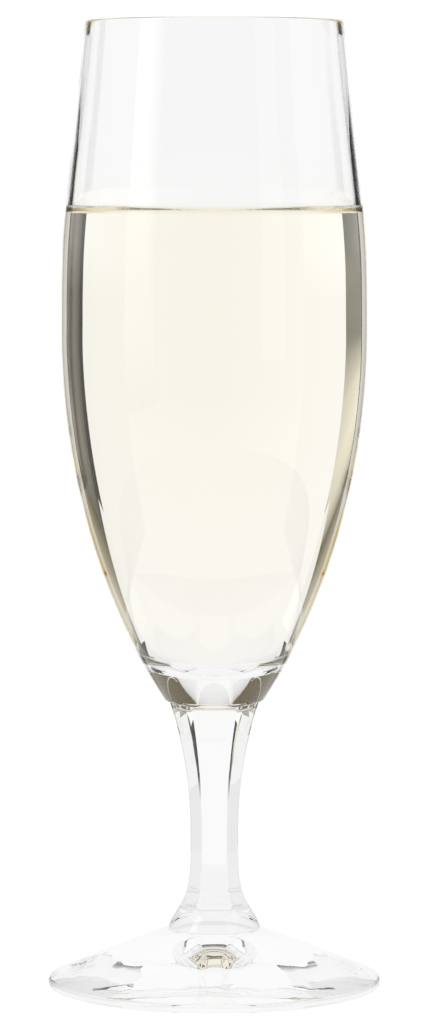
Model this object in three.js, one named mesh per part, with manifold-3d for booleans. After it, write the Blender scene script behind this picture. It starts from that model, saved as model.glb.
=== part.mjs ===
// A champagne flute holding white wine: a blown bowl on a pressed six-sided stem and a round foot.
// Millimetres, +Z up. The origin is the centre of the ring that the foot rests on.

import * as THREE from 'three';
import { mergeVertices } from 'three/addons/utils/BufferGeometryUtils.js';
import Module from 'manifold-3d';

// Gap between two pieces that touch.
const JOINT_GAP = 0.3;

// Foot: a low cone with a rounded edge, hollowed underneath so that it stands on a ring.
const FOOT_RADIUS = 29.4;
const FOOT_HEIGHT = 10;
const FOOT_EDGE_HEIGHT = 1.7;
const FOOT_EDGE_ROUNDING = 0.8;
// How far up the rounding of the edge turns, in degrees, before the cone leaves it.
const FOOT_EDGE_TURN = 70;
const REST_RING_WIDTH = 2.6;
const HOLLOW_DEPTH = 3.8;
// How far out the hollow stays level under the middle, and where it comes down, as shares of its radius.
const HOLLOW_CROWN = 0.3;
const HOLLOW_SHOULDER = 0.6;
const SEAT_MARGIN = 0.8;

// Stem: a waisted body with six flats, left round at its collar and at its top edge.
const STEM_LENGTH = 40.4;
const STEM_TOP_RADIUS = 8.4;
const STEM_WAIST_RADIUS = 4.25;
const STEM_COLLAR_RADIUS = 8.1;
const WAIST_LOW = 13.2;
const WAIST_HIGH = 17.6;
const COLLAR_HEIGHT = 2.2;
const COLLAR_LEAN = -15;
const STEM_TOP_LEAN = -24;
const TOP_LAND_HEIGHT = 0.1;
const FACET_COUNT = 6;
const FACET_RUNOUT = 1.5;
const FACET_TOP_RUNOUT = 0.4;
const FACET_SHARE = 0.89;
const NO_FACET_SHARE = 1.02;

// Bowl: a tulip outline from its base, out to the belly and in again to the rim.
const BOWL_HEIGHT = 119;
const BASE_RADIUS = 8.75;
const BELLY_RADIUS = 26.9;
const BELLY_HEIGHT = 64.5;
const RIM_RADIUS = 22.6;
const BASE_LEAN = 33.5;
const RIM_LEAN = 5.5;
const RIM_WALL = 1;
const BELLY_WALL = 1.2;
const HEEL_WALL = 1.7;
const HEEL_HEIGHT = 14;
const BASE_THICKNESS = 6;

// Wine: its depth on the axis, and how it climbs the wall.
const WINE_DEPTH = 78.9;
const MENISCUS_RISE = 1.9;
const MENISCUS_WIDTH = 2.6;
const MENISCUS_TIP = 0.25;

// Fullness of each curve: the handle at its first end and at its last, as shares of its rise.
const STEM_LOWER_HANDLES = [0.35, 0.77];
const STEM_UPPER_HANDLES = [0.48, 0.15];
const BOWL_LOWER_HANDLES = [0.46, 0.16];
const BOWL_UPPER_HANDLES = [0.42, 0.67];
const BOWL_FLOOR_HANDLES = [0.85, 0.55];

// Fineness of the round surfaces and of the outlines.
const ROUND_SEGMENTS = 48;
const CURVE_STEPS = 7;
const ARC_STEPS = 4;
const FACET_STEPS = 14;

const GLASS_COLOR = 0xf2f5f4;
const GLASS_OPACITY = 0.35;
const WINE_COLOR = 0xf1e6b8;
const WINE_OPACITY = 0.6;
const SURFACE_ROUGHNESS = 0.03;

// Heights that follow from standing the bowl on the stem and the stem on the foot.
const STEM_BASE_Z = FOOT_HEIGHT + JOINT_GAP;
const STEM_TOP_Z = STEM_BASE_Z + STEM_LENGTH;
const BOWL_BASE_Z = STEM_TOP_Z + JOINT_GAP;
const BELLY_Z = BOWL_BASE_Z + BELLY_HEIGHT;
const RIM_Z = BOWL_BASE_Z + BOWL_HEIGHT;
const HEEL_Z = BOWL_BASE_Z + HEEL_HEIGHT;
const FLOOR_Z = BOWL_BASE_Z + BASE_THICKNESS;
const WINE_Z = FLOOR_Z + WINE_DEPTH;

const { clamp, degToRad, lerp, mapLinear, smoothstep } = THREE.MathUtils;
const OUTWARD = new THREE.Vector2(1, 0);
const UPWARD = new THREE.Vector2(0, 1);
const DOWNWARD = new THREE.Vector2(0, -1);

const wasm = await Module();
wasm.setup();

// Outlines are lists of points with the radius as x and the height as y. They run counter-clockwise
// with the material on their left, from the axis back to the axis.

function point(radius, z) {
  return new THREE.Vector2(radius, z);
}

// A vertical direction tilted away from the axis.
function leaning(vertical, degrees) {
  const angle = degToRad(degrees);
  return point(Math.sin(angle), vertical.y * Math.cos(angle));
}

// A cubic curve. Each end's handle has a direction, and a length as a share of the curve's rise.
function curve(start, startDirection, end, endDirection, [startShare, endShare]) {
  const rise = Math.abs(end.y - start.y);
  const startHandle = start.clone().addScaledVector(startDirection, startShare * rise);
  const endHandle = end.clone().addScaledVector(endDirection, endShare * rise);
  return new THREE.CubicBezierCurve(start, startHandle, endHandle, end).getPoints(CURVE_STEPS);
}

function arc(centre, radius, startDegrees, endDegrees) {
  const points = [];
  for (let step = 0; step <= ARC_STEPS; step += 1) {
    const angle = degToRad(lerp(startDegrees, endDegrees, step / ARC_STEPS));
    points.push(point(centre.x + radius * Math.cos(angle), centre.y + radius * Math.sin(angle)));
  }
  return points;
}

// Moves every point of an outline to its left, by a distance that may change with the height.
function offsetLeft(outline, distanceAt) {
  return outline.map((here, index) => {
    const before = outline[Math.max(index - 1, 0)];
    const after = outline[Math.min(index + 1, outline.length - 1)];
    const along = here.x === 0 ? OUTWARD : after.clone().sub(before).normalize();
    const distance = distanceAt(here.y);
    return point(here.x - along.y * distance, here.y + along.x * distance);
  });
}

// The radius of an outline that only climbs, at a height between its ends.
function radiusAt(outline, z) {
  const upper = clamp(outline.findIndex((candidate) => candidate.y > z), 1, outline.length - 1);
  const above = outline[upper];
  const below = outline[upper - 1];
  return mapLinear(z, below.y, above.y, below.x, above.x);
}

function turned(outline, segments = ROUND_SEGMENTS, startAngle = 0) {
  return new THREE.LatheGeometry(outline, segments, startAngle).rotateX(Math.PI / 2);
}

function toSolid(geometry) {
  const bare = geometry.clone();
  bare.deleteAttribute('normal');
  bare.deleteAttribute('uv');
  const merged = mergeVertices(bare);
  return new wasm.Manifold(new wasm.Mesh({
    numProp: 3,
    vertProperties: Float32Array.from(merged.attributes.position.array),
    triVerts: Uint32Array.from(merged.index.array),
  }));
}

function toGeometry(solid) {
  const mesh = solid.getMesh();
  const geometry = new THREE.BufferGeometry();
  geometry.setAttribute('position', new THREE.BufferAttribute(mesh.vertProperties, 3));
  geometry.setIndex(new THREE.BufferAttribute(mesh.triVerts, 1));
  geometry.computeVertexNormals();
  return geometry;
}

function footGeometry() {
  const edgeRadius = FOOT_RADIUS - FOOT_EDGE_ROUNDING;
  const ringInner = point(edgeRadius - REST_RING_WIDTH, 0);
  const hollowTop = point(0, HOLLOW_DEPTH);
  const hollow = new THREE.CubicBezierCurve(
    hollowTop,
    point(ringInner.x * HOLLOW_CROWN, HOLLOW_DEPTH),
    point(ringInner.x * HOLLOW_SHOULDER, 0),
    ringInner,
  ).getPoints(CURVE_STEPS);
  const lowerEdge = arc(point(edgeRadius, FOOT_EDGE_ROUNDING), FOOT_EDGE_ROUNDING, -90, 0);
  const upperCentre = point(edgeRadius, FOOT_EDGE_HEIGHT - FOOT_EDGE_ROUNDING);
  const upperEdge = arc(upperCentre, FOOT_EDGE_ROUNDING, 0, FOOT_EDGE_TURN);
  const seatEdge = point(STEM_COLLAR_RADIUS + SEAT_MARGIN, FOOT_HEIGHT);
  return turned([...hollow, ...lowerEdge, ...upperEdge, seatEdge, point(0, FOOT_HEIGHT)]);
}

// The stem's round side, from the bottom of its collar up to its top edge.
function stemSide() {
  const collar = point(STEM_COLLAR_RADIUS, STEM_BASE_Z);
  const waistLow = point(STEM_WAIST_RADIUS, STEM_BASE_Z + WAIST_LOW);
  const waistHigh = point(STEM_WAIST_RADIUS, STEM_BASE_Z + WAIST_HIGH);
  const top = point(STEM_TOP_RADIUS, STEM_TOP_Z);
  const lower = curve(collar, leaning(UPWARD, COLLAR_LEAN), waistLow, DOWNWARD, STEM_LOWER_HANDLES);
  const upper = curve(waistHigh, UPWARD, top, leaning(DOWNWARD, STEM_TOP_LEAN), STEM_UPPER_HANDLES);
  return [...lower, ...upper];
}

// How far out the flats lie, as a share of the round side's radius. They miss it above 1.
function facetShareAt(z) {
  const start = STEM_BASE_Z + COLLAR_HEIGHT;
  const end = STEM_TOP_Z - TOP_LAND_HEIGHT;
  const cutIn = smoothstep(z, start, start + FACET_RUNOUT);
  const cutOut = smoothstep(z, end - FACET_TOP_RUNOUT, end);
  return lerp(NO_FACET_SHARE, FACET_SHARE, cutIn - cutOut);
}

// A six-sided body with a corner on +X. The stem is what it shares with the stem's round body.
function facetBody() {
  const side = stemSide();
  const flats = [];
  const flatsEnd = STEM_TOP_Z - TOP_LAND_HEIGHT - FACET_TOP_RUNOUT;
  for (let step = 0; step <= FACET_STEPS; step += 1) {
    const z = step < FACET_STEPS ? lerp(STEM_BASE_Z, flatsEnd, step / (FACET_STEPS - 1)) : STEM_TOP_Z;
    const flatDistance = radiusAt(side, z) * facetShareAt(z);
    flats.push(point(flatDistance / Math.cos(Math.PI / FACET_COUNT), z));
  }
  const low = flats[0].clone().add(DOWNWARD);
  const high = flats[FACET_STEPS].clone().add(UPWARD);
  const outline = [point(0, low.y), low, ...flats, high, point(0, high.y)];
  return turned(outline, FACET_COUNT, Math.PI / FACET_COUNT);
}

function stemGeometry() {
  const roundBody = turned([point(0, STEM_BASE_Z), ...stemSide(), point(0, STEM_TOP_Z)]);
  return toGeometry(toSolid(roundBody).intersect(toSolid(facetBody())));
}

function wallAt(z) {
  if (z > BELLY_Z) {
    return mapLinear(z, BELLY_Z, RIM_Z, BELLY_WALL, RIM_WALL);
  }
  return mapLinear(z, HEEL_Z, BELLY_Z, HEEL_WALL, BELLY_WALL);
}

// The bowl's outside, from the edge of its base up to where the rim's rounding starts.
function bowlOutside() {
  const base = point(BASE_RADIUS, BOWL_BASE_Z);
  const belly = point(BELLY_RADIUS, BELLY_Z);
  const rim = point(RIM_RADIUS, RIM_Z - RIM_WALL / 2);
  const lower = curve(base, leaning(UPWARD, BASE_LEAN), belly, DOWNWARD, BOWL_LOWER_HANDLES);
  const upper = curve(belly, UPWARD, rim, leaning(DOWNWARD, RIM_LEAN), BOWL_UPPER_HANDLES);
  return [...lower, ...upper.slice(1)];
}

// The bowl's inside, from its floor on the axis up to where the rim's rounding starts.
function bowlInside() {
  const wall = offsetLeft(bowlOutside(), wallAt).filter((here) => here.y > HEEL_Z);
  const heel = wall[0];
  const downWall = heel.clone().sub(wall[1]).normalize();
  const floor = curve(point(0, FLOOR_Z), OUTWARD, heel, downWall, BOWL_FLOOR_HANDLES);
  return [...floor, ...wall.slice(1)];
}

function bowlGeometry() {
  const rimCentre = point(RIM_RADIUS - RIM_WALL / 2, RIM_Z - RIM_WALL / 2);
  const rim = arc(rimCentre, RIM_WALL / 2, 0, 180).slice(1, -1);
  return turned([point(0, BOWL_BASE_Z), ...bowlOutside(), ...rim, ...bowlInside().reverse()]);
}

// The wine fills the bowl to its level, and its surface curves up to a thin edge at the wall.
function wineGeometry() {
  const wetted = offsetLeft(bowlInside(), () => JOINT_GAP);
  const edgeZ = WINE_Z + MENISCUS_RISE;
  const edge = point(radiusAt(wetted, edgeZ), edgeZ);
  const side = wetted.filter((here) => here.y < WINE_Z);
  const meniscus = new THREE.QuadraticBezierCurve(
    point(edge.x - MENISCUS_TIP, edgeZ),
    point(edge.x - MENISCUS_TIP, WINE_Z),
    point(edge.x - MENISCUS_WIDTH, WINE_Z),
  ).getPoints(ARC_STEPS);
  return turned([...side, edge, ...meniscus, point(0, WINE_Z)]);
}

function piece(name, geometry, color, opacity) {
  const material = new THREE.MeshStandardMaterial({
    color, opacity, roughness: SURFACE_ROUGHNESS, metalness: 0, transparent: true,
  });
  const mesh = new THREE.Mesh(geometry, material);
  mesh.name = name;
  return mesh;
}


const flute = new THREE.Group();
flute.add(
  piece('foot', footGeometry(), GLASS_COLOR, GLASS_OPACITY),
  piece('stem', stemGeometry(), GLASS_COLOR, GLASS_OPACITY),
  piece('bowl', bowlGeometry(), GLASS_COLOR, GLASS_OPACITY),
  piece('wine', wineGeometry(), WINE_COLOR, WINE_OPACITY),
);

export default flute;
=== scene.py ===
"""Looks for the champagne flute: clear fused glass and pale wine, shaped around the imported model."""

import math

import bpy
from mathutils import Euler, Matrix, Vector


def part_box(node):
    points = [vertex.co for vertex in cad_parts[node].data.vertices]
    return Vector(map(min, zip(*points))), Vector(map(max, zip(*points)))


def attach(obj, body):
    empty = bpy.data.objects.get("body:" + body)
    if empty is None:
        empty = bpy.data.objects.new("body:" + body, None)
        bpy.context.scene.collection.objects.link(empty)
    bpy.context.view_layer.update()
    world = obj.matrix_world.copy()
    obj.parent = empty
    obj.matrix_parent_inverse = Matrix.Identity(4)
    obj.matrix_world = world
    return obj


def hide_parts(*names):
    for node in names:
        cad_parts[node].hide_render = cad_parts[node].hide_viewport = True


MM = 0.001

# Fineness of the glass: segments round the axis, and steps along each curve of an outline.
SEGMENTS = 192
CURVE_STEPS = 40
ARC_STEPS = 12

# Shape of the bowl, in metres and degrees, where its box in the frame doesn't give it.
BASE_RADIUS = 8.75 * MM
BELLY_HEIGHT = 64.5 * MM
RIM_RADIUS = 22.6 * MM
BASE_LEAN = 33.5
RIM_LEAN = 5.5
RIM_WALL = 1.0 * MM
BELLY_WALL = 1.2 * MM
HEEL_WALL = 1.7 * MM
HEEL_HEIGHT = 14 * MM
BASE_THICKNESS = 6.0 * MM

# How far each curve's handles reach at its start and end, as shares of the curve's rise.
BOWL_LOWER_HANDLES = (0.46, 0.16)
BOWL_UPPER_HANDLES = (0.42, 0.67)
BOWL_FLOOR_HANDLES = (0.85, 0.55)
STEM_LOWER_HANDLES = (0.35, 0.77)
STEM_UPPER_HANDLES = (0.48, 0.15)

# Shape of the stem.
STEM_TOP_RADIUS = 8.4 * MM
WAIST_RADIUS = 4.25 * MM
WAIST_LOW = 13.2 * MM
WAIST_HIGH = 17.6 * MM
COLLAR_HEIGHT = 2.2 * MM
COLLAR_LEAN = -15
STEM_TOP_LEAN = -24
TOP_LAND = 0.1 * MM
FACET_RUNOUT = 1.5 * MM
FACET_TOP_RUNOUT = 0.4 * MM
FACET_COUNT = 6
FACET_SHARE = 0.885
NO_FACET_SHARE = 1.12
EDGE_SHARPNESS_LOW = 60
EDGE_SHARPNESS_TOP = 13

# Shape of the foot.
FOOT_EDGE_HEIGHT = 1.7 * MM
FOOT_EDGE_ROUNDING = 0.8 * MM
REST_RING_WIDTH = 2.6 * MM
HOLLOW_DEPTH = 3.8 * MM
FOOT_EDGE_TURN = 70
HOLLOW_HANDLES = (0.3, 0.6)
SEAT_MARGIN = 0.8 * MM

# The wine: its depth, how it climbs the wall, and the film of space that parts it from the glass.
WINE_DEPTH = 78.9 * MM
MENISCUS_RISE = 1.9 * MM
CAPILLARY_LENGTH = 1.9 * MM
WINE_FILM = 0.02 * MM
# The meniscus: how its points crowd towards the low end, and where its flat middle gets a ring of points.
MENISCUS_CROWDING = 1.5
FLAT_RING_SHARE = 0.6

# A cut through an outline drops the points that lie closer to it than this.
POINT_SPACING = 0.02 * MM
# Faces that meet at less than this angle are shaded as one smooth surface.
SMOOTH_ANGLE = 35

# Optical constants.
GLASS_IOR = 1.52
WINE_IOR = 1.344
WINE_TINT = (1.0, 0.83, 0.3, 1)
WINE_TINT_DENSITY = 4.0
BLOWN_RIPPLES = (12 * MM, 0.02 * MM)
PRESSED_RIPPLES = (5 * MM, 0.06 * MM)

# The studio: how white its backdrop is, and how bright the room beyond its cards looks in the glass.
BACKDROP_WHITE = 1.03
WORLD_REFRACTED = 0.012
WORLD_REFLECTED = 0.4
FLOOR_REACH = 0.5
FLOOR_SIDES = 96
FLOOR_DROP = 0.2 * MM
FLOOR_IN_GLASS = 0.93
# The floor as the glass shows it is a painted pool of light: brightest out to here, and as dim as the
# room at its edge.
FLOOR_BRIGHT_REACH = 0.2
CARD_WHITE = 0.965
FLAG_GLOW = 0.1
WHITE = (1, 1, 1)
ROOM_COLOUR = (1, 0.95, 0.78)
CEILING_COLOUR = (1, 0.82, 0.48)
# Light goes round the curved edge of the wine by many small reflections before it comes out.
LONGEST_PATH = 128

# The light panels, in millimetres: X to the right, Y away from the camera, Z up.
CARD_Y = 120
CARD_EDGE_X = 60
GAP_EDGE_X = 91
SIDE_X = 123
SIDE_FRONT = (150, -70)
PANEL_TOP = 260
LOW_CARD_TOP = 100
SIDE_GLOW = 0.9
FRONT_GLOW = 0.8
FAR_Y = 501
SLOPE_Y = 500

# The camera, in metres, millimetres of lens and radians.
CAMERA_PLACE = (0, -0.811, 0.145)
CAMERA_LENS = 162.5
SENSOR_WIDTH = 36
CAMERA_DOWN_TILT = 0.07514
CAMERA_TURN = 0.0004

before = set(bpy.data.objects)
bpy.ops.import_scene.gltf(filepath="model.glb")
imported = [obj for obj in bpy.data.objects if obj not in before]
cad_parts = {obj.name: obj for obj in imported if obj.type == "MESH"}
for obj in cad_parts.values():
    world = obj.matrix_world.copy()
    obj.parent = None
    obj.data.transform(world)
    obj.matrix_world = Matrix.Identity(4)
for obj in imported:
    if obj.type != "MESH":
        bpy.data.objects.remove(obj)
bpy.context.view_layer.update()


def cubic(start, start_handle, end_handle, end):
    points = []
    for step in range(CURVE_STEPS + 1):
        t = step / CURVE_STEPS
        s = 1 - t
        weights = (s**3, 3 * s * s * t, 3 * s * t * t, t**3)
        corners = (start, start_handle, end_handle, end)
        points.append(tuple(sum(w * c[axis] for w, c in zip(weights, corners)) for axis in (0, 1)))
    return points


def curve(start, start_direction, end, end_direction, shares):
    """A cubic curve whose handles are directions scaled by shares of its rise."""
    rise = abs(end[1] - start[1])
    start_handle = [c + d * shares[0] * rise for c, d in zip(start, start_direction)]
    end_handle = [c + d * shares[1] * rise for c, d in zip(end, end_direction)]
    return cubic(start, start_handle, end_handle, end)


def leaning(vertical, degrees):
    """An upright direction, 1 for up or -1 for down, tilted away from the axis."""
    angle = math.radians(degrees)
    return (math.sin(angle), vertical * math.cos(angle))


def arc(centre, radius, start_degrees, end_degrees):
    points = []
    for step in range(ARC_STEPS + 1):
        angle = math.radians(start_degrees + (end_degrees - start_degrees) * step / ARC_STEPS)
        points.append((centre[0] + radius * math.cos(angle), centre[1] + radius * math.sin(angle)))
    return points


def offset_left(outline, distance_at):
    moved = []
    for index, (x, z) in enumerate(outline):
        before = outline[max(index - 1, 0)]
        after = outline[min(index + 1, len(outline) - 1)]
        run, rise = after[0] - before[0], after[1] - before[1]
        if x == 0:
            run, rise = 1, 0
        length = math.hypot(run, rise)
        distance = distance_at(z)
        moved.append((x - rise / length * distance, z + run / length * distance))
    return moved


def between(value, low, high, at_low, at_high):
    return at_low + (at_high - at_low) * (value - low) / (high - low)


def smoothstep(value, low, high):
    t = min(max((value - low) / (high - low), 0), 1)
    return t * t * (3 - 2 * t)


def radius_at(outline, z):
    for (x0, z0), (x1, z1) in zip(outline, outline[1:]):
        if z0 <= z < z1:
            return between(z, z0, z1, x0, x1)
    return outline[-1][0]


def revolve(name, outline, slots, radius_of=None):
    """A closed solid of revolution. slots gives each span of the outline its material slot."""
    vertices = []
    rings = []
    for radius, z in outline:
        if radius == 0:
            rings.append([len(vertices)] * SEGMENTS)
            vertices.append((0, 0, z))
            continue
        rings.append(range(len(vertices), len(vertices) + SEGMENTS))
        for index in range(SEGMENTS):
            angle = 2 * math.pi * index / SEGMENTS
            reach = radius_of(radius, z, angle) if radius_of else radius
            vertices.append((reach * math.cos(angle), reach * math.sin(angle), z))
    faces = []
    face_slots = []
    for low, high, slot in zip(rings, rings[1:], slots):
        for index in range(SEGMENTS):
            following = (index + 1) % SEGMENTS
            corners = [low[index], low[following], high[following], high[index]]
            faces.append(list(dict.fromkeys(corners)))
            face_slots.append(slot)
    mesh = bpy.data.meshes.new(name)
    mesh.from_pydata(vertices, [], faces)
    mesh.polygons.foreach_set("material_index", face_slots)
    mesh.shade_smooth()
    mesh.set_sharp_from_angle(angle=math.radians(SMOOTH_ANGLE))
    piece = bpy.data.objects.new(name, mesh)
    bpy.context.scene.collection.objects.link(piece)
    return piece


def seam_z(lower, upper):
    """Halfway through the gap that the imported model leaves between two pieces."""
    return (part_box(lower)[1].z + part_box(upper)[0].z) / 2


FOOT_SEAM_Z = seam_z("foot", "stem")
BOWL_SEAM_Z = seam_z("stem", "bowl")
COLLAR_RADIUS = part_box("stem")[1].x
STEM_BASE_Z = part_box("stem")[0].z
STEM_TOP_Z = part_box("stem")[1].z
FOOT_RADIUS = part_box("foot")[1].x
FOOT_TOP_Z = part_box("foot")[1].z
BOWL_BASE_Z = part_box("bowl")[0].z
RIM_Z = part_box("bowl")[1].z
BELLY_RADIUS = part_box("bowl")[1].x
BELLY_Z = BOWL_BASE_Z + BELLY_HEIGHT
HEEL_Z = BOWL_BASE_Z + HEEL_HEIGHT
FLOOR_Z = BOWL_BASE_Z + BASE_THICKNESS
WINE_Z = FLOOR_Z + WINE_DEPTH
CONTACT_Z = WINE_Z + MENISCUS_RISE


def bowl_outside():
    base = (BASE_RADIUS, BOWL_SEAM_Z)
    belly = (BELLY_RADIUS, BELLY_Z)
    rim = (RIM_RADIUS, RIM_Z - RIM_WALL / 2)
    lower = curve(base, leaning(1, BASE_LEAN), belly, (0, -1), BOWL_LOWER_HANDLES)
    upper = curve(belly, (0, 1), rim, leaning(-1, RIM_LEAN), BOWL_UPPER_HANDLES)
    return lower + upper[1:]


def wall_at(z):
    if z > BELLY_Z:
        return between(z, BELLY_Z, RIM_Z, BELLY_WALL, RIM_WALL)
    return between(z, HEEL_Z, BELLY_Z, HEEL_WALL, BELLY_WALL)


def bowl_inside():
    wall = [p for p in offset_left(bowl_outside(), wall_at) if p[1] > HEEL_Z]
    heel, above = wall[0], wall[1]
    length = math.hypot(above[0] - heel[0], above[1] - heel[1])
    down_wall = ((heel[0] - above[0]) / length, (heel[1] - above[1]) / length)
    floor = curve((0, FLOOR_Z), (1, 0), heel, down_wall, BOWL_FLOOR_HANDLES)
    return floor + wall[1:]


def split_at(outline, z):
    """The outline below a height and above it, both with a point on it."""
    cut = (radius_at(outline, z), z)
    below = [p for p in outline if p[1] < z - POINT_SPACING]
    above = [p for p in outline if p[1] > z + POINT_SPACING]
    return below + [cut], [cut] + above


def make_bowl():
    seam = [(0, BOWL_SEAM_Z), (STEM_TOP_RADIUS, BOWL_SEAM_Z)]
    rim = arc((RIM_RADIUS - RIM_WALL / 2, RIM_Z - RIM_WALL / 2), RIM_WALL / 2, 0, 180)[1:-1]
    wetted, dry = split_at(bowl_inside(), CONTACT_Z)
    glass = bowl_outside() + rim + dry[::-1]
    outline = seam + glass + wetted[-2::-1]
    slots = [1] + [0] * len(glass) + [1] * (len(wetted) - 1)
    return revolve("bowl_glass", outline, slots)


def stem_side():
    collar = (COLLAR_RADIUS, STEM_BASE_Z)
    waist_low = (WAIST_RADIUS, STEM_BASE_Z + WAIST_LOW)
    waist_high = (WAIST_RADIUS, STEM_BASE_Z + WAIST_HIGH)
    top = (STEM_TOP_RADIUS, STEM_TOP_Z)
    lower = curve(collar, leaning(1, COLLAR_LEAN), waist_low, (0, -1), STEM_LOWER_HANDLES)
    upper = curve(waist_high, (0, 1), top, leaning(-1, STEM_TOP_LEAN), STEM_UPPER_HANDLES)
    return lower + upper


def facet_share_at(z):
    start = STEM_BASE_Z + COLLAR_HEIGHT
    end = STEM_TOP_Z - TOP_LAND
    cut_in = smoothstep(z, start, start + FACET_RUNOUT)
    cut_out = smoothstep(z, end - FACET_TOP_RUNOUT, end)
    return NO_FACET_SHARE + (FACET_SHARE - NO_FACET_SHARE) * (cut_in - cut_out)


def faceted(radius, z, angle):
    """The distance from the axis to the stem's side: the nearer of its round body and its flats."""
    facet_angle = 2 * math.pi / FACET_COUNT
    from_flat = (angle % facet_angle) - facet_angle / 2
    flat = radius * facet_share_at(z) / math.cos(from_flat)
    rise = smoothstep(z, STEM_BASE_Z + WAIST_HIGH, STEM_TOP_Z)
    sharpness = between(rise, 0, 1, EDGE_SHARPNESS_LOW, EDGE_SHARPNESS_TOP)
    return (1 + (flat / radius) ** -sharpness) ** (-1 / sharpness) * radius


def make_stem():
    side = stem_side()
    outline = [(0, FOOT_SEAM_Z), (COLLAR_RADIUS, FOOT_SEAM_Z)] + side
    outline += [(STEM_TOP_RADIUS, BOWL_SEAM_Z), (0, BOWL_SEAM_Z)]
    slots = [1] + [0] * (len(outline) - 3) + [1]
    return revolve("stem_glass", outline, slots, faceted)


def make_foot():
    edge = FOOT_RADIUS - FOOT_EDGE_ROUNDING
    ring_inner = edge - REST_RING_WIDTH
    inner_handle = (ring_inner * HOLLOW_HANDLES[0], HOLLOW_DEPTH)
    outer_handle = (ring_inner * HOLLOW_HANDLES[1], 0)
    hollow = cubic((0, HOLLOW_DEPTH), inner_handle, outer_handle, (ring_inner, 0))
    lower_edge = arc((edge, FOOT_EDGE_ROUNDING), FOOT_EDGE_ROUNDING, -90, 0)
    upper_centre = (edge, FOOT_EDGE_HEIGHT - FOOT_EDGE_ROUNDING)
    upper_edge = arc(upper_centre, FOOT_EDGE_ROUNDING, 0, FOOT_EDGE_TURN)
    seat = [(COLLAR_RADIUS + SEAT_MARGIN, FOOT_TOP_Z), (COLLAR_RADIUS, FOOT_SEAM_Z), (0, FOOT_SEAM_Z)]
    outline = hollow + lower_edge + upper_edge + seat
    slots = [0] * (len(outline) - 2) + [1]
    return revolve("foot_glass", outline, slots)


def meniscus(edge_radius):
    """The free surface from the wall to the axis: a liquid's own curve against an upright wall."""
    def reach(height):
        share = height / CAPILLARY_LENGTH
        return CAPILLARY_LENGTH * (math.acosh(2 / share) - math.sqrt(4 - share * share))

    points = []
    for step in range(1, CURVE_STEPS + 1):
        height = MENISCUS_RISE * (1 - step / (CURVE_STEPS + 1)) ** MENISCUS_CROWDING
        points.append((edge_radius - reach(height) + reach(MENISCUS_RISE), WINE_Z + height))
    return points + [(points[-1][0] * FLAT_RING_SHARE, WINE_Z), (0, WINE_Z)]


def make_wine():
    wetted, _ = split_at(bowl_inside(), CONTACT_Z)
    side = offset_left(wetted, lambda z: WINE_FILM)
    outline = side + meniscus(side[-1][0])
    wine = revolve("wine_fill", outline, [0] * (len(outline) - 1))
    free = wine.data.attributes.new("free_surface", "FLOAT", "FACE")
    side_faces = (len(side) - 1) * SEGMENTS
    free.data.foreach_set("value", [float(i >= side_faces) for i in range(len(wine.data.polygons))])
    return wine


def new_material(name):
    material = bpy.data.materials.new(name)
    material.use_nodes = True
    material.node_tree.nodes.clear()
    return material, material.node_tree.nodes, material.node_tree.links


def glass_material(name, ripple_size, ripple_height):
    """Clear glass whose surface ripples a little, as it sets after being blown or pressed."""
    material, nodes, links = new_material(name)
    out = nodes.new("ShaderNodeOutputMaterial")
    shader = nodes.new("ShaderNodeBsdfGlass")
    shader.inputs["IOR"].default_value = GLASS_IOR
    shader.inputs["Roughness"].default_value = 0
    place = nodes.new("ShaderNodeTexCoord")
    ripples = nodes.new("ShaderNodeTexNoise")
    ripples.inputs["Scale"].default_value = 1 / ripple_size
    ripples.inputs["Detail"].default_value = 1
    bump = nodes.new("ShaderNodeBump")
    bump.inputs["Strength"].default_value = 1
    bump.inputs["Distance"].default_value = ripple_height
    links.new(place.outputs["Object"], ripples.inputs["Vector"])
    links.new(ripples.outputs["Fac"], bump.inputs["Height"])
    links.new(bump.outputs["Normal"], shader.inputs["Normal"])
    links.new(shader.outputs[0], out.inputs["Surface"])
    return material


def seam_material():
    """Where two bodies of glass are fused, or wine wets the glass, light passes straight on."""
    material, nodes, links = new_material("fused_seam")
    out = nodes.new("ShaderNodeOutputMaterial")
    shader = nodes.new("ShaderNodeBsdfTransparent")
    links.new(shader.outputs[0], out.inputs["Surface"])
    return material


def wine_material():
    """Pale wine that bends light by what lies on its other side, and tints it along the way."""
    material, nodes, links = new_material("white_wine")
    out = nodes.new("ShaderNodeOutputMaterial")
    against_glass = nodes.new("ShaderNodeBsdfGlass")
    against_glass.inputs["IOR"].default_value = WINE_IOR / GLASS_IOR
    against_glass.inputs["Roughness"].default_value = 0
    against_air = nodes.new("ShaderNodeBsdfGlass")
    against_air.inputs["IOR"].default_value = WINE_IOR
    against_air.inputs["Roughness"].default_value = 0
    which = nodes.new("ShaderNodeAttribute")
    which.attribute_name = "free_surface"
    mix = nodes.new("ShaderNodeMixShader")
    links.new(which.outputs["Fac"], mix.inputs["Fac"])
    links.new(against_glass.outputs[0], mix.inputs[1])
    links.new(against_air.outputs[0], mix.inputs[2])
    links.new(mix.outputs[0], out.inputs["Surface"])
    volume = nodes.new("ShaderNodeVolumeAbsorption")
    volume.inputs["Color"].default_value = WINE_TINT
    volume.inputs["Density"].default_value = WINE_TINT_DENSITY
    links.new(volume.outputs[0], out.inputs["Volume"])
    return material


blown = glass_material("blown_glass", *BLOWN_RIPPLES)
pressed = glass_material("pressed_glass", *PRESSED_RIPPLES)
seam = seam_material()
for piece, node, materials in (
    (make_bowl(), "bowl", (blown, seam)),
    (make_stem(), "stem", (pressed, seam)),
    (make_foot(), "foot", (pressed, seam)),
    (make_wine(), "wine", (wine_material(),)),
):
    for material in materials:
        piece.data.materials.append(material)
    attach(piece, "root")
    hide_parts(node)


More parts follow.
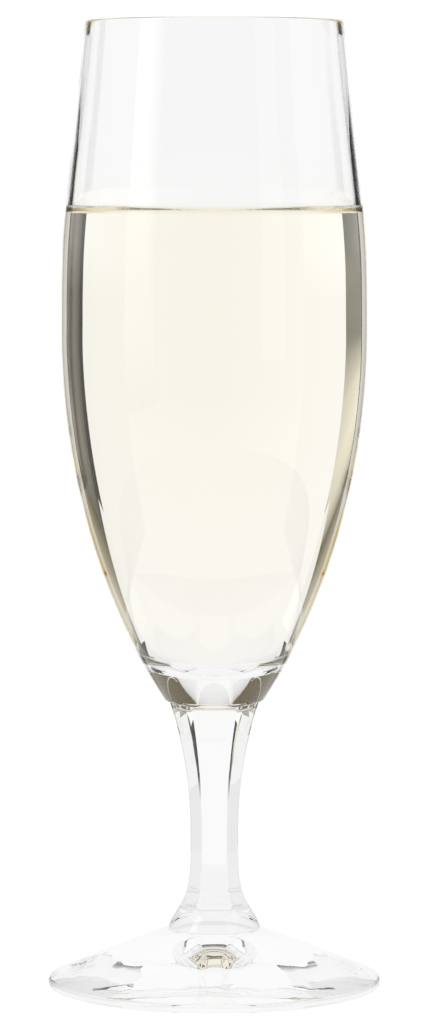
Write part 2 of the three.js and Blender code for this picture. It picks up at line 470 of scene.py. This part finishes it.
def emitting_material(name, colour):
    """Light whose strength each face takes from the glow at its corners."""
    material, nodes, links = new_material(name)
    out = nodes.new("ShaderNodeOutputMaterial")
    shader = nodes.new("ShaderNodeEmission")
    shader.inputs["Color"].default_value = (*colour, 1)
    glow = nodes.new("ShaderNodeAttribute")
    glow.attribute_name = "glow"
    links.new(glow.outputs["Fac"], shader.inputs["Strength"])
    links.new(shader.outputs[0], out.inputs["Surface"])
    return material


def add_light(name, corners, glow, colour=WHITE, refracted=True, reflected=True):
    """A glowing face that shows only in or through the glass. glow is its strength at each corner."""
    mesh = bpy.data.meshes.new(name)
    mesh.from_pydata([[c * MM for c in corner] for corner in corners], [], [(0, 1, 2, 3)])
    mesh.attributes.new("glow", "FLOAT", "POINT").data.foreach_set("value", glow)
    mesh.materials.append(emitting_material(name, colour))
    panel = bpy.data.objects.new(name, mesh)
    bpy.context.scene.collection.objects.link(panel)
    panel.visible_camera = False
    panel.visible_diffuse = False
    panel.visible_shadow = False
    panel.visible_transmission = refracted
    panel.visible_glossy = reflected


def add_panel(name, start, end, low, high, glow, **options):
    """An upright glowing panel between two points of the floor plan."""
    corners = [(*start, low), (*end, low), (*end, high), (*start, high)]
    add_light(name, corners, [glow] * 4, **options)


def add_graded_panel(name, start, end, levels, **options):
    """An upright panel with a changing glow. Each level is a height, and the glow at either end."""
    for (low, *low_glow), (high, *high_glow) in zip(levels, levels[1:]):
        corners = [(*start, low), (*end, low), (*end, high), (*start, high)]
        add_light(f"{name}_{low}", corners, [*low_glow, *reversed(high_glow)], **options)


def set_world():
    """White where the camera looks past the glass, and dim where the glass bends or mirrors its view."""
    world = bpy.data.worlds.new("studio")
    bpy.context.scene.world = world
    world.use_nodes = True
    nodes, links = world.node_tree.nodes, world.node_tree.links
    nodes.clear()
    out = nodes.new("ShaderNodeOutputWorld")
    path = nodes.new("ShaderNodeLightPath")
    shaders = []
    for strength in (WORLD_REFLECTED, WORLD_REFRACTED, BACKDROP_WHITE):
        shader = nodes.new("ShaderNodeBackground")
        shader.inputs["Color"].default_value = (1, 1, 1, 1)
        shader.inputs["Strength"].default_value = strength
        shaders.append(shader)
    bent = nodes.new("ShaderNodeMixShader")
    links.new(path.outputs["Is Transmission Ray"], bent.inputs["Fac"])
    links.new(shaders[0].outputs[0], bent.inputs[1])
    links.new(shaders[1].outputs[0], bent.inputs[2])
    camera = nodes.new("ShaderNodeMixShader")
    links.new(path.outputs["Is Camera Ray"], camera.inputs["Fac"])
    links.new(bent.outputs[0], camera.inputs[1])
    links.new(shaders[2].outputs[0], camera.inputs[2])
    links.new(camera.outputs[0], out.inputs["Surface"])


def make_floor():
    """White to the camera. In the glass it shows a painted pool of light, bright near the foot and fading
    towards its edge.
    """
    mesh = bpy.data.meshes.new("floor")
    angles = [2 * math.pi * index / FLOOR_SIDES for index in range(FLOOR_SIDES)]
    rim = [(FLOOR_REACH * math.cos(angle), FLOOR_REACH * math.sin(angle), 0) for angle in angles]
    mesh.from_pydata(rim, [], [range(FLOOR_SIDES)])
    floor = bpy.data.objects.new("floor", mesh)
    bpy.context.scene.collection.objects.link(floor)
    material, nodes, links = new_material("floor_glow_painted_pool")
    out = nodes.new("ShaderNodeOutputMaterial")
    path = nodes.new("ShaderNodeLightPath")
    mix = nodes.new("ShaderNodeMixShader")
    links.new(path.outputs["Is Camera Ray"], mix.inputs["Fac"])
    shaders = [nodes.new("ShaderNodeEmission"), nodes.new("ShaderNodeEmission")]
    for socket, shader in enumerate(shaders, 1):
        shader.inputs["Strength"].default_value = BACKDROP_WHITE
        links.new(shader.outputs[0], mix.inputs[socket])
    # Painted pool of light: in the glass the floor glows brightest near the foot and fades to the room's
    # dimness at its edge.
    place = nodes.new("ShaderNodeTexCoord")
    reach = nodes.new("ShaderNodeVectorMath")
    reach.operation = "LENGTH"
    fade = nodes.new("ShaderNodeMapRange")
    fade.inputs["From Min"].default_value = FLOOR_BRIGHT_REACH
    fade.inputs["From Max"].default_value = FLOOR_REACH
    fade.inputs["To Min"].default_value = FLOOR_IN_GLASS
    fade.inputs["To Max"].default_value = WORLD_REFLECTED
    links.new(place.outputs["Object"], reach.inputs[0])
    links.new(reach.outputs["Value"], fade.inputs["Value"])
    links.new(fade.outputs["Result"], shaders[0].inputs["Strength"])
    links.new(mix.outputs[0], out.inputs["Surface"])
    mesh.materials.append(material)
    floor.location.z = -FLOOR_DROP


def make_tent_side(side, name, edge_glow):
    """The tent to one side of the glass. side is -1 on the left and 1 on the right."""
    card_edge, gap_edge, side_edge = side * CARD_EDGE_X, side * GAP_EDGE_X, side * SIDE_X
    side_front = (side * SIDE_FRONT[0], SIDE_FRONT[1])
    # The card behind the glass. The gap beside it shows as a dark band beside the wine.
    middle = ((LOW_CARD_TOP, CARD_WHITE, edge_glow), (140, CARD_WHITE, edge_glow))
    add_graded_panel(f"{name}_back_card", (0, CARD_Y), (card_edge, CARD_Y), middle)
    outline = (0, 0), (side * 53, 0), (card_edge, LOW_CARD_TOP), (0, LOW_CARD_TOP)
    low = [(x, CARD_Y, z) for x, z in outline]
    add_light(f"{name}_back_card_low", low, [CARD_WHITE] * 4)
    # Bright walls that only refracted light sees.
    through_glass = {"reflected": False}
    add_panel(f"{name}_side", (side_edge, CARD_Y), side_front, 0, PANEL_TOP, SIDE_GLOW, **through_glass)
    low_ends = (gap_edge, CARD_Y), (side_edge, CARD_Y)
    add_panel(f"{name}_side_low", *low_ends, 0, LOW_CARD_TOP, SIDE_GLOW, **through_glass)
    floor_end = ((0, SIDE_GLOW, SIDE_GLOW), (26, SIDE_GLOW, SIDE_GLOW), (42, 0.03, 0.03))
    add_graded_panel(f"{name}_base", (side * 47, 119), (gap_edge, 119), floor_end, **through_glass)
    # Flags that only reflections see. They keep the low reflections in the dark bands dim.
    flag_ends = (side * 61, 121), (side * 124, 121)
    add_panel(f"{name}_flag", *flag_ends, 0, PANEL_TOP, FLAG_GLOW, refracted=False)
    dim, bright = (FLAG_GLOW, FLAG_GLOW), (0.85, 0.85)
    levels = ((0, *dim), (120, *dim), (136, *bright), (PANEL_TOP, *bright))
    flag_ends = (side * 124, 121), (side * 151, -70)
    add_graded_panel(f"{name}_side_flag", *flag_ends, levels, refracted=False)
    # A slanted panel far behind, which closes the lower end of the dark band.
    slope = [(side * x, SLOPE_Y, z) for x, z in ((200, 180), (354, 180), (430, 340), (200, 340))]
    add_light(f"{name}_far_slope", slope, [1.0] * 4, **through_glass)
    front_edge = (card_edge, -CARD_Y)
    add_panel(f"{name}_front_side", front_edge, side_front, 0, PANEL_TOP, FRONT_GLOW, **through_glass)


def make_tent():
    """Cards round the glass. They and the far wall are placed for the photographed viewpoint."""
    add_panel("back_card_high", (-68, CARD_Y), (68, CARD_Y), 140, PANEL_TOP, CARD_WHITE)
    make_tent_side(-1, "left", 1.08)
    make_tent_side(1, "right", 1.01)
    front = (-CARD_EDGE_X, -CARD_Y), (CARD_EDGE_X, -CARD_Y)
    add_panel("front_card", *front, 0, PANEL_TOP, FRONT_GLOW, reflected=False)


def make_far_wall():
    """The far wall of the room, past the gaps: its left end shows on the right of the glass."""
    room = {"colour": ROOM_COLOUR, "reflected": False}
    left_levels = (
        (-400, 0.12, 0.12), (60, 0.14, 0.12), (85, 0.22, 0.15), (104, 0.6, 0.32), (130, 1.1, 0.72),
        (160, 1.25, 0.84), (185, 1.1, 0.72), (205, 0.7, 0.42), (224, 0.12, 0.1), (245, 0.2, 0.15),
        (285, 0.34, 0.34), (350, 0.42, 0.42), (420, 0.65, 0.65), (700, 0.9, 0.9),
    )
    add_graded_panel("left_far", (-620, FAR_Y), (-330, FAR_Y), left_levels, **room)
    stripe = ((-400, 0.06, 0.17), (130, 0.07, 0.18), (170, 0.1, 0.22), (205, 0.06, 0.12))
    add_graded_panel("right_far_inner", (375, FAR_Y), (440, FAR_Y), stripe, **room)
    stripe = ((-400, 0.17, 0.05), (130, 0.18, 0.06), (170, 0.22, 0.1), (205, 0.12, 0.05))
    add_graded_panel("right_far_outer", (440, FAR_Y), (500, FAR_Y), stripe, **room)
    stripe = ((-400, 0.03, 0.2), (130, 0.03, 0.2), (170, 0.1, 0.35), (205, 0.05, 0.3))
    add_graded_panel("right_far_end", (530, FAR_Y), (620, FAR_Y), stripe, **room)
    right_levels = (
        (205, 0.06, 0.1), (235, 0.2, 0.08), (260, 0.25, 0.22), (300, 0.36, 0.36), (350, 0.45, 0.45),
        (420, 0.65, 0.65), (700, 0.9, 0.9),
    )
    add_graded_panel("right_far_high", (330, FAR_Y + 1), (620, FAR_Y + 1), right_levels, **room)


def make_softboxes():
    """The softbox on the left is brightest in its middle and fades out towards its edges."""
    softbox = (((-335, -371), 0.3), ((-379, -274), 2.2), ((-460, -96), 2.2), ((-500, -8), 0.3))
    for index, ((start, start_glow), (end, end_glow)) in enumerate(zip(softbox, softbox[1:])):
        levels = ((0, 0, 0), (PANEL_TOP, start_glow, end_glow), (700, start_glow, end_glow))
        add_graded_panel(f"left_softbox_{index}", start, end, levels, refracted=False)
    add_panel("right_softbox", (290, -410), (400, -300), 60, 700, 0.8, refracted=False)
    overhead = [(-150, -150, 590), (150, -150, 590), (150, 150, 590), (-150, 150, 590)]
    add_light("overhead_softbox", overhead, [0.9] * 4, reflected=False)
    ceiling = [(-500, -500, 600), (500, -500, 600), (500, 500, 600), (-500, 500, 600)]
    add_light("ceiling", ceiling, [0.11] * 4, colour=CEILING_COLOUR, reflected=False)


def make_camera():
    data = bpy.data.cameras.new("camera")
    data.lens = CAMERA_LENS
    data.sensor_width = SENSOR_WIDTH
    camera = bpy.data.objects.new("camera", data)
    camera.location = CAMERA_PLACE
    camera.rotation_mode = "XYZ"
    camera.rotation_euler = Euler((math.pi / 2 - CAMERA_DOWN_TILT, 0, CAMERA_TURN))
    bpy.context.scene.collection.objects.link(camera)
    bpy.context.scene.camera = camera


set_world()
make_floor()
make_tent()
make_far_wall()
make_softboxes()
make_camera()
bpy.context.scene.view_settings.view_transform = "Standard"
bpy.context.scene.cycles.max_bounces = LONGEST_PATH
bpy.context.scene.cycles.transmission_bounces = LONGEST_PATH
bpy.context.scene.cycles.transparent_max_bounces = LONGEST_PATH
bpy.context.scene.cycles.glossy_bounces = LONGEST_PATH
